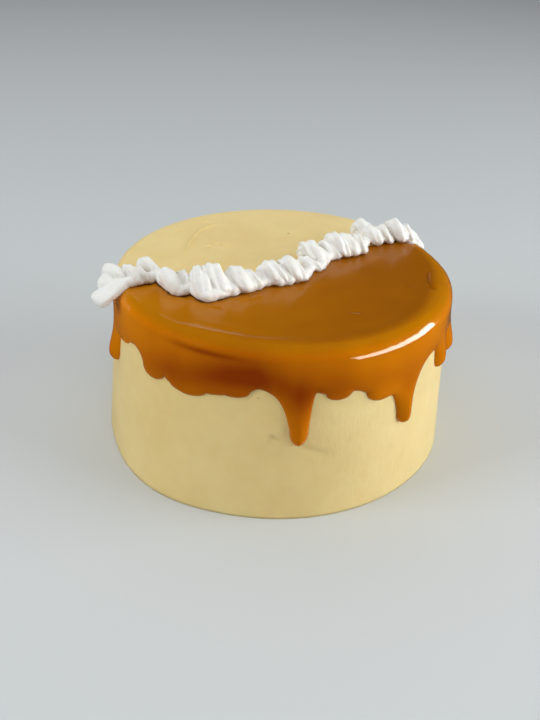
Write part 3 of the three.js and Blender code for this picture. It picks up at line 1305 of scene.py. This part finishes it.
    def shape(self) -> bpy.types.Object:
        """Bend a grid into a closed skin over the front of the cake.

        Returns:
            The glaze.
        """
        s = np.linspace(0, 1, self.top_rows)
        top = self.even * s + (1 - self.even) * (1 - np.cos(math.pi * s)) / 2
        shoulder = 1 + np.linspace(0, 1, self.shoulder_rows)[1:]
        side = 3 - (1 - np.linspace(0, 1, self.side_rows)[1:]) ** self.crowding
        outer = np.concatenate([top, shoulder, side])
        under = np.linspace(3, 0, self.under_rows)
        parts = np.concatenate([[0], outer, under])
        is_outer = np.concatenate([[0], np.ones(len(outer)), np.zeros(len(under))])
        angles = self.column_angles()
        bm = bmesh.new()
        bmesh.ops.create_grid(bm, x_segments=self.columns - 1, y_segments=len(parts) - 1, size=1)
        glaze = new_piece("poured_caramel", bm)
        grid = read_points(glaze.data)
        column = np.rint((grid[:, 0] + 1) / 2 * (self.columns - 1)).astype(int)
        row = np.rint((grid[:, 1] + 1) / 2 * (len(parts) - 1)).astype(int)
        degrees = angles[column]
        inner = self.inner_edge(angles)[column]
        part = parts[row]
        flat = self.lay(part, degrees, inner, np.zeros(len(part)))
        thick = self.thickness(part, degrees, flat)
        for outline, reach in zip(self.outlines(angles), (self.edge, self.inner_reach)):
            distance = self.to_outline(flat, outline)
            thick = np.minimum(thick, thick * np.sqrt(1 - (1 - np.clip(distance / reach, 0, 1)) ** 2))
        placed = self.lay(part, degrees, inner, np.where(is_outer[row] > 0, thick, -self.sunk))
        write_points(glaze.data, placed * MM)
        # depth is the deeper tone with painted shade; the second attribute is the painted shadow under the
        # border's lip
        for name, values in (("depth", self.depth(degrees, placed)), ("lip_shadow", self.lip_shadow(placed))):
            tone = glaze.data.attributes.new(name, "FLOAT", "POINT")
            tone.data.foreach_set("value", values.astype(np.float32))
        self.close(glaze)
        return glaze

    def outlines(self, angles: Array) -> tuple[Array, Array]:
        """Closely spaced points of the glaze's two edges.

        Args:
            angles: The columns' angles in degrees.

        Returns:
            The hem with the glaze's two ends, and the inner edge.
        """
        inner = self.inner_edge(angles)
        fine = np.arange(self.outline_steps) / self.outline_steps
        degrees = np.concatenate([blend(a, b, fine) for a, b in zip(angles, angles[1:])])
        count = len(degrees)
        hem = self.lay(np.full(count, 3.0), degrees, np.zeros((count, 3)), np.zeros(count))
        count = self.end_steps
        parts, flush = np.linspace(0, 3, count), np.zeros(count)
        ends = [
            self.lay(parts, np.full(count, angles[k]), np.repeat(inner[[k]], count, 0), flush)
            for k in (0, -1)
        ]
        start = np.concatenate([blend(a, b, fine[:, None]) for a, b in zip(inner, inner[1:])])
        return np.concatenate([hem, *ends]), start

    @staticmethod
    def to_outline(points: Array, outline: Array) -> Array:
        """The distance from each point to the nearest point of the outline.

        Args:
            points: The points.
            outline: Points of the outline.

        Returns:
            The distances.
        """
        tree = kdtree.KDTree(len(outline))
        for index, place in enumerate(outline.tolist()):
            tree.insert(place, index)
        tree.balance()
        return np.array([tree.find(p)[2] for p in points.tolist()])

    @staticmethod
    def close(glaze: bpy.types.Object) -> None:
        """Join the first and last rows and fill the two ends.

        Args:
            glaze: The bent grid.
        """
        with edited(glaze.data) as bm:
            bmesh.ops.holes_fill(bm, edges=[e for e in bm.edges if e.is_boundary], sides=0)
        tidy_mesh(glaze)


# The piped border


@dataclass(frozen=True)
class Squeeze:
    """One squeeze of the star nozzle, an arch of ribbed cream laid across the border.

    Attributes:
        x: Its middle.
        y: Its middle.
        size: Its size beside the mean.
        turn: How far it is turned from the front towards the right, in degrees.
        wide: Its width along the border beside the mean.
        lift: Its height beside the mean.
        long: Its reach towards the front beside the mean.
        phase: How far its ribs are turned, in degrees.
        fan: How much its ribs spread towards the foot, as a share.
        skew: How far its section is turned back from square, in degrees.
        crisp: How deep its ribs are beside the mean.
    """

    x: float
    y: float
    size: float
    turn: float
    wide: float
    lift: float
    long: float
    phase: float
    fan: float
    skew: float
    crisp: float


@dataclass(frozen=True)
class Smear:
    """A flat lick of cream with soft ribs, laid from one place to another.

    Attributes:
        start: Where it starts.
        end: Where it ends.
        width: How wide it is.
        thick: How thick it is.
        taper: How much narrower its end is than its start, as a share.
        sag: How far its end hangs down.
        blunt: How square its ends are, 2 for round.
    """

    start: tuple[float, float, float]
    end: tuple[float, float, float]
    width: float
    thick: float
    taper: float = 0
    sag: float = 0
    blunt: float = 2.6


@dataclass
class PipedBorder(Assembly):
    """The border of piped cream over the line where the glaze ends."""

    node: ClassVar[Node] = Node.BORDER
    slot: ClassVar[Slot] = Slot.CREAM
    squeezes: tuple[Squeeze, ...] = tuple(
        Squeeze(*row)
        for row in (
            # x, y, size, turn, wide, lift, long, phase, fan, skew, crisp
            (-78.4, -31.3, 0.80, 58, 0.90, 1.12, 0.85, 10, 0.1, 30, 1),
            (-73.3, -29.2, 0.68, 60, 0.84, 1.10, 0.85, 35, 0.1, 30, 1),
            (-70.5, -20.0, 0.80, 65, 0.94, 1.04, 0.95, 20, 0, 30, 0.5),
            (-62.5, -25.5, 0.52, 60, 1.10, 1, 1, 0, 0, 30, 1),
            (-56.7, -37.1, 0.92, 38, 0.92, 1.08, 0.96, 15, 0.15, 20, 0.35),
            (-48.9, -34.5, 0.77, 30, 0.86, 1.09, 0.99, 40, 0.1, 10, 1),
            (-40.2, -39.0, 1.08, 22, 0.90, 1.10, 0.97, 5, 0.3, 10, 0.6),
            (-33.4, -37.3, 1.08, 37, 1.12, 1.26, 0.87, 22, 0.2, 20, 0.7),
            (-26.5, -36.0, 0.74, 32, 0.90, 0.90, 1, 12, 0, 30, 0.6),
            (-21.0, -34.0, 0.96, 46, 1.12, 1.12, 0.82, 25, 0.1, 30, 0.4),
            (-14.9, -30.8, 0.80, 64, 1.00, 0.94, 0.88, 10, 0.1, 35, 0.7),
            (-9.0, -27.0, 0.62, 56, 1.00, 0.85, 1, 33, 0, 30, 1),
            (-3.7, -24.4, 0.95, 65, 1.30, 1.08, 0.91, 30, 0.3, 42, 1),
            (6.4, -20.2, 0.98, 62, 1.08, 1.19, 0.78, 0, 0.25, 46, 1),
            (15.3, -6.3, 0.68, 72, 1.16, 0.83, 1.26, 20, 0.2, 42, 1),
            (18.2, 4.3, 0.97, 66, 1.25, 1.14, 0.82, 38, 0.2, 42, 1),
            (26.5, 10.8, 0.78, 68, 1.05, 1.10, 0.88, 8, 0.1, 38, 1),
            (32.8, 15.2, 1.01, 56, 1.03, 1.19, 0.73, 12, 0.3, 40, 1),
            (38.8, 17.8, 0.94, 54, 1.05, 1.12, 0.78, 33, 0.1, 36, 0.5),
            (45.5, 20.5, 0.82, 48, 0.98, 1.17, 0.75, 28, 0.2, 35, 1),
            (50.3, 38.6, 0.98, 59, 1.08, 1.16, 0.76, 5, 0.2, 40, 0.8),
            (55.0, 34.0, 0.90, 56, 1.00, 1.05, 0.70, 18, 0, 30, 0.5),
            (61.8, 37.8, 0.80, 54, 0.90, 1.15, 0.78, 35, 0.1, 35, 1),
            (69.6, 40.6, 1.02, 53, 0.85, 1.19, 0.68, 8, 0.2, 30, 1),
            (75.4, 41.4, 0.76, 59, 0.89, 1.12, 0.82, 25, 0.1, 30, 1),
        )
    )
    smears: tuple[Smear, ...] = (
        Smear((-79.5, -31, 104), (-93.5, -46, 95), 13, 8, blunt=4.5),
        Smear((-87, -27.5, 102), (-91, -39, 101.5), 11, 9),
        Smear((-92.5, -27, 106), (-80, -34, 105.5), 9.5, 10, taper=0.1),
        Smear((75, 46, 103.5), (88, 37, 98), 12, 8, taper=0.5, sag=0.5),
    )
    route: Path2D = (
        (-89.3, -44.5), (-87.5, -37), (-86, -29), (-80, -29), (-73, -29), (-68.5, -21), (-61, -27),
        (-56, -37), (-47, -40.5), (-34, -40.5), (-21, -35), (-12, -33), (-4, -25), (8.5, -19), (18.5, -9),
        (26, 3), (34.5, 11.5), (45, 20.5), (53, 31.5), (63, 37.5), (71.5, 43), (81, 35.5),
    )
    # The lip along the border's foot, where the squeezes spread on the glaze
    lip: Path2D = (
        (-80, -36.5), (-76.5, -34.6), (-71.9, -30.5), (-67.7, -29.4), (-64.5, -26), (-62, -28), (-60, -32),
        (-56.9, -36), (-52.4, -41.8), (-48.1, -43), (-44.7, -40.7), (-43, -39.6), (-40.8, -44), (-36.7, -49),
        (-32.7, -48), (-28.7, -45), (-25, -40.6), (-22.3, -41), (-19.5, -38), (-15.2, -35.2), (-12, -35.4),
        (-9, -32.5), (-7, -28), (-4.2, -26.5), (-1.1, -28.6), (7.4, -25.8), (10, -22.6), (14.3, -21.8),
        (16.8, -14.8), (19, -8), (23.8, -6), (25.6, -0.5), (27.8, 3), (29.5, 8.3), (33.2, 9.6), (36, 12.6),
        (40.4, 14.6), (43, 17.8), (46, 17.2), (49, 21.6), (52.3, 30.5), (56.7, 35.8), (60.1, 35.8),
        (64, 37.5), (67.2, 40.6), (70.7, 40.2), (74, 44), (78, 46.5),
    )
    lip_height: float = 5.1
    lip_radius: float = 3.3
    lip_rib: float = 4.6
    lip_rib_depth: float = 0.30
    # How far its scallops drift, and over what length
    lip_drift: tuple[float, float] = (0.35, 5.3)
    # Its teeth are this share of full at the left, and grow to full between these places
    lip_teeth_least: float = 0.2
    lip_teeth_from: tuple[float, float] = (-26, -14)
    lip_bluntness: float = 60
    lip_rings: int = 360
    lip_slices: int = 28
    foot: float = 3.2
    tube: float = 5.2
    front: float = 11.0
    back: float = 4.0
    rise: float = 7.0
    slope: float = 1.25
    back_slope: float = 3.0
    slimming: float = 0.10
    bluntness: float = 6
    ribs: float = 6.6
    fewest_ribs: int = 5
    rib_depth: float = 0.27
    rib_curve: float = 1.15
    unevenness: float = 0.22
    twist: float = 0.5
    wobble: float = 0.7
    wobble_scale: float = 7
    smear_ribs: int = 6
    smear_rib_depth: float = 0.10
    voxel: float = 0.44
    softening: float = 0.3
    lumps: tuple[Ripple, ...] = (Ripple(0.22, 3.2, 4.4), Ripple(0.10, 1.1, 9.3))
    # How far over the cake's top it rests, and how far past the turn of the edge it does so
    rest_gap: float = 0.2
    rest_past: float = 2
    rings: int = 56
    slices: int = 108

    @staticmethod
    def smooth_path(path: Path2D, steps: int = 24) -> Array:
        """Closely spaced points of a smooth curve through a path's corners.

        Args:
            path: The corners in order.
            steps: How many points there are for each corner.

        Returns:
            One point a row, in millimetres.
        """
        points = np.array(path, float)
        padded = np.vstack([2 * points[0] - points[1], points, 2 * points[-1] - points[-2]])
        t = np.linspace(0, 1, steps)[:-1, None]
        runs = []
        for a, b, c, d in zip(padded, padded[1:], padded[2:], padded[3:]):
            bend = (2 * a - 5 * b + 4 * c - d) * t**2 + (3 * b - 3 * c + d - a) * t**3
            runs.append((2 * b + (c - a) * t + bend) / 2)
        return np.concatenate([*runs, points[-1:]])

    def line(self) -> Array:
        """The border's centre line on the flat top."""
        return self.smooth_path(self.route)

    def ribbed(self, around: Array, ribs: int, depth: float) -> Array:
        """The star nozzle's section, ribs with sharp valleys between, as shares of the radius."""
        turned = (around * ribs / math.tau) % 1
        return 1 - depth * np.abs(2 * turned - 1) ** self.rib_curve

    def squeeze_points(self, ball: Array, s: Squeeze) -> Array:
        """Bend a ball into one squeeze.

        Args:
            ball: Points of a ball of radius 1 whose axis is Z.
            s: The squeeze.

        Returns:
            The points in millimetres.
        """
        u = np.arcsin(np.clip(ball[:, 2], -1, 1)) / (math.pi / 2)
        far = np.abs(u)
        around = polar(ball)[1]
        ribs = max(self.fewest_ribs, round(self.ribs * s.size))
        uneven = self.unevenness * np.sin(2 * around + s.x)
        turned = around + math.radians(s.phase) + self.twist * u + uneven
        section = self.ribbed(turned, ribs, self.rib_depth * s.crisp)
        blunt = np.sqrt(np.clip(1 - far ** self.bluntness, 0, None))
        radius = self.tube * s.size * blunt * (1 - self.slimming * u)
        turn, section_turn = math.radians(s.turn), math.radians(s.turn - s.skew)
        front = np.array([math.sin(turn), -math.cos(turn), 0])
        beside = np.array([math.cos(section_turn), math.sin(section_turn), 0])
        up = np.array([0, 0, 1])
        reach = s.size * np.where(u > 0, self.front * s.long, self.back)
        rise = self.rise * s.size * s.lift
        power = np.where(u > 0, self.slope, self.back_slope)
        spine = (reach * u)[:, None] * front + (rise * (1 - far ** power))[:, None] * up
        fall = np.sign(u) * rise * power * far ** (power - 1)
        run = unit(reach[:, None] * front - fall[:, None] * up)
        out = unit(np.cross(np.broadcast_to(beside, run.shape), run))
        wide = s.wide * (1 + s.fan * u)
        across = (wide * np.cos(around))[:, None] * beside + np.sin(around)[:, None] * out
        middle = np.array([s.x, s.y, self.form.height + self.foot])
        return middle + spine + (radius * section)[:, None] * across

    def smear_points(self, ball: Array, s: Smear) -> Array:
        """Stretch a ball into one smear.

        Args:
            ball: Points of a ball of radius 1 whose axis is Z.
            s: The smear.

        Returns:
            The points in millimetres.
        """
        u = ball[:, 2]
        around = polar(ball)[1]
        start, end = np.array(s.start), np.array(s.end)
        axis = (end - start) / 2
        beside = np.cross(axis, (0, 0, 1))
        beside /= np.linalg.norm(beside)
        out = np.cross(beside, axis / np.linalg.norm(axis))
        radius = (1 - np.abs(u) ** s.blunt) ** (1 / s.blunt) * (1 - s.taper * u)
        radius = radius * self.ribbed(around, self.smear_ribs, self.smear_rib_depth)
        across = s.width / 2 * np.cos(around)[:, None] * beside
        across = across + s.thick / 2 * np.sin(around)[:, None] * out
        points = (start + end) / 2 + u[:, None] * axis + radius[:, None] * across
        points[:, 2] -= s.sag * (1 + u) ** 2 / 4
        return points

    def lip_points(self, ball: Array) -> Array:
        """Draw a ball out along the foot, with small pointed scallops.

        Args:
            ball: Points of a ball of radius 1 whose axis is Z.

        Returns:
            The points in millimetres.
        """
        line = self.smooth_path(self.lip)
        run = run_along(line)
        ahead = np.gradient(line, run, axis=0)
        u = np.arcsin(np.clip(ball[:, 2], -1, 1)) / (math.pi / 2)
        along = (u + 1) / 2 * run[-1]
        place, way = pick(line, run, along), unit(pick(ahead, run, along))
        around = polar(ball)[1]
        drift, length = self.lip_drift
        tooth = (along / self.lip_rib + drift * np.sin(along / length)) % 1
        toothed = blend(self.lip_teeth_least, 1, smooth_step(*self.lip_teeth_from, place[:, 0]))
        scallop = 1 - self.lip_rib_depth * toothed * np.abs(2 * tooth - 1)
        radius = self.lip_radius * scallop * (1 - np.abs(u) ** self.lip_bluntness) ** 0.5
        points = np.column_stack([place, np.full(len(place), self.form.height + self.lip_height)])
        points[:, :2] += (radius * np.cos(around))[:, None] * np.stack([way[:, 1], -way[:, 0]], 1)
        points[:, 2] += radius * np.sin(around)
        return points

    @staticmethod
    def make_ball(slices: int, rings: int) -> bpy.types.Mesh:
        """A ball of radius 1 to bend into a shape.

        Args:
            slices: How many faces it has round its axis.
            rings: How many it has from pole to pole.

        Returns:
            The ball.
        """
        bm = bmesh.new()
        bmesh.ops.create_uvsphere(bm, u_segments=slices, v_segments=rings, radius=1)
        ball = bpy.data.meshes.new("ball")
        bm.to_mesh(ball)
        bm.free()
        return ball

    def shape(self) -> bpy.types.Object:
        """Make every squeeze and fuse them into one rope.

        Returns:
            The border.
        """
        short = self.make_ball(self.slices, self.rings)
        drawn = self.make_ball(self.lip_slices, self.lip_rings)
        ball = read_points(short)
        shapes = [(short, self.squeeze_points(ball, s)) for s in self.squeezes]
        shapes += [(short, self.smear_points(ball, s)) for s in self.smears]
        shapes.append((drawn, self.lip_points(read_points(drawn))))
        joined = bmesh.new()
        for index, (mesh, points) in enumerate(shapes):
            drift = [ripple(points, self.wobble_scale, 2.9 * index + axis) for axis in (0, 31, 67)]
            write_points(mesh, (points + self.wobble * np.stack(drift, 1)) * MM)
            joined.from_mesh(mesh)
        bpy.data.meshes.remove(short)
        bpy.data.meshes.remove(drawn)
        bmesh.ops.recalc_face_normals(joined, faces=joined.faces)
        border = new_piece("piped_border", joined)
        self.fuse(border)
        self.settle(border)
        return border

    def fuse(self, border: bpy.types.Object) -> None:
        """Melt the squeezes into one closed mesh and soften the steps of its grid.

        Args:
            border: The squeezes in one mesh.
        """
        remesh = border.modifiers.new("fuse", "REMESH")
        remesh.mode = "VOXEL"
        remesh.voxel_size = self.voxel * MM
        depsgraph = bpy.context.evaluated_depsgraph_get()
        fused = bpy.data.meshes.new_from_object(border.evaluated_get(depsgraph))
        border.modifiers.clear()
        bm = bmesh.new()
        bm.from_mesh(fused)
        bpy.data.meshes.remove(fused)
        axes = dict.fromkeys(("use_axis_x", "use_axis_y", "use_axis_z"), True)
        bmesh.ops.smooth_vert(bm, verts=bm.verts, factor=self.softening, **axes)
        bm.to_mesh(border.data)
        bm.free()
        border.data.shade_smooth()

    def settle(self, border: bpy.types.Object) -> None:
        """Roughen the cream a little and flatten it where it rests on the cake.

        Args:
            border: The fused border.
        """
        points = read_points(border.data) / MM
        normals = np.empty(len(points) * 3, np.float32)
        border.data.vertices.foreach_get("normal", normals)
        lumps = sum(lump.at(points) for lump in self.lumps)
        points += lumps[:, None] * normals.reshape(-1, 3)
        radii, angles = polar(points, (self.form.lean, 0))
        on_top = radii < self.form.start(angles) + self.rest_past
        rested = np.maximum(points[:, 2], self.form.height + self.rest_gap)
        points[:, 2] = np.where(on_top, rested, points[:, 2])
        write_points(border.data, points * MM)


# The studio


@dataclass(frozen=True)
class Lamp:
    """A soft rectangular lamp that points at the cake.

    Attributes:
        name: Its name.
        towards: Its direction from the cake.
        distance: How far away it stands, in metres.
        size: Its width and height in metres.
        power: Its power in watts.
        tint: Its colour.
        along: The direction of its width, which is level when this is None.
        reflected: Whether glossy surfaces show it.
        lights: Whether it lights what isn't glossy.
    """

    name: str
    towards: tuple[float, float, float]
    distance: float
    size: tuple[float, float]
    power: float
    tint: tuple[float, float, float]
    along: tuple[float, float, float] | None = None
    reflected: bool = True
    lights: bool = True


@dataclass
class Studio:
    """A plain pale floor, soft light and the camera."""

    floor_size: float = 12
    floor_tone: Rgba = (0.62, 0.64, 0.645, 1)
    floor_roughness: float = 0.6
    world_tone: Rgba = (0.93, 0.97, 1.0, 1)
    world_strength: float = 0.05
    lamps: tuple[Lamp, ...] = (
        Lamp("window", (0.94, -0.17, 0.27), 1.5, (1.2, 1.0), 19.5, (0.92, 0.98, 1.0), reflected=False),
        Lamp(
            "window_glint", (0.954, -0.243, 0.070), 1.5, (1.95, 0.60), 85, (1.0, 0.98, 0.97),
            along=(0.142, 0.972, 0.184), lights=False,
        ),
        Lamp("ceiling", (-0.1, 0.2, 1), 2.4, (4, 4), 50, (0.98, 0.99, 1.0), reflected=False),
        Lamp("left_fill", (-0.85, -0.35, 0.40), 1.8, (0.8, 0.8), 16, (0.9, 0.96, 1.0), reflected=False),
        Lamp("front_fill", (0.10, -0.80, 0.75), 2.0, (1.6, 1.2), 6, (1.0, 0.95, 0.86), reflected=False),
    )
    aim: tuple[float, float, float] = (0, 0, 0.06)
    focal_pixels: float = 850
    long_side: float = 720
    distance: float = 0.531574
    elevation: float = 0.59
    pitch: float = 0.061
    yaw: float = 0.005
    roll: float = 0.03
    clip: tuple[float, float] = (0.01, 50)

    def lay_floor(self) -> None:
        """Lay the floor."""
        bm = bmesh.new()
        bmesh.ops.create_grid(bm, x_segments=1, y_segments=1, size=self.floor_size / 2)
        floor = new_piece("floor", bm)
        material = bpy.data.materials.new("floor")
        material.use_nodes = True
        bsdf = material.node_tree.nodes["Principled BSDF"]
        bsdf.inputs["Base Color"].default_value = self.floor_tone
        bsdf.inputs["Roughness"].default_value = self.floor_roughness
        floor.data.materials.append(material)
        floor.visible_glossy = False

    def hang_lamps(self) -> None:
        """Hang the lamps and set the light all round."""
        world = bpy.data.worlds.new("soft_light")
        world.use_nodes = True
        background = world.node_tree.nodes["Background"]
        background.inputs["Color"].default_value = self.world_tone
        background.inputs["Strength"].default_value = self.world_strength
        bpy.context.scene.world = world
        for lamp in self.lamps:
            light = bpy.data.lights.new(lamp.name, "AREA")
            light.shape = "RECTANGLE"
            light.size, light.size_y = lamp.size
            light.energy = lamp.power
            light.color = lamp.tint
            held = new_object(lamp.name, light)
            towards = Vector(lamp.towards).normalized()
            along = Vector(lamp.along) if lamp.along else Vector((0, 0, 1)).cross(towards)
            upright = towards.cross(along).normalized()
            place = Vector(self.aim) + towards * lamp.distance
            held.matrix_world = pose(place, (upright.cross(towards), upright, towards))
            held.visible_glossy = lamp.reflected
            held.visible_diffuse = lamp.lights

    def set_camera(self) -> None:
        """Stand the camera where the view is the photograph's."""
        heading = math.pi / 2 + self.yaw
        tilt = self.pitch - self.elevation
        level = math.cos(tilt)
        forward = Vector((math.cos(heading) * level, math.sin(heading) * level, math.sin(tilt)))
        right = forward.cross(Vector((0, 0, 1))).normalized()
        up = right.cross(forward)
        c, s = math.cos(self.roll), math.sin(self.roll)
        right, up = c * right + s * up, c * up - s * right
        data = bpy.data.cameras.new("camera")
        data.lens = self.focal_pixels / self.long_side * data.sensor_width
        data.clip_start, data.clip_end = self.clip
        camera = new_object("camera", data)
        back, high = self.distance * math.cos(self.elevation), self.distance * math.sin(self.elevation)
        camera.matrix_world = pose(Vector((0, -back, high)), (right, up, -forward))
        bpy.context.scene.camera = camera

    def build(self) -> None:
        """Set up the studio."""
        self.lay_floor()
        self.hang_lamps()
        self.set_camera()
        bpy.context.scene.view_settings.view_transform = "Standard"


def main() -> None:
    """Build the cake from the inside out, then the studio round it."""
    form = CakeForm()
    effects = Effects()
    border = PipedBorder(form)
    for assembly, finish in (
        (ButtercreamBody(form), ButtercreamFinish()),
        (CaramelGlaze(form, border), CaramelFinish()),
        (border, CreamFinish()),
    ):
        piece = assembly.build(finish.build(effects))
        log.info("%s: %d faces", piece.name, len(piece.data.polygons))
    Studio().build()


if __name__ == "__main__":
    main()
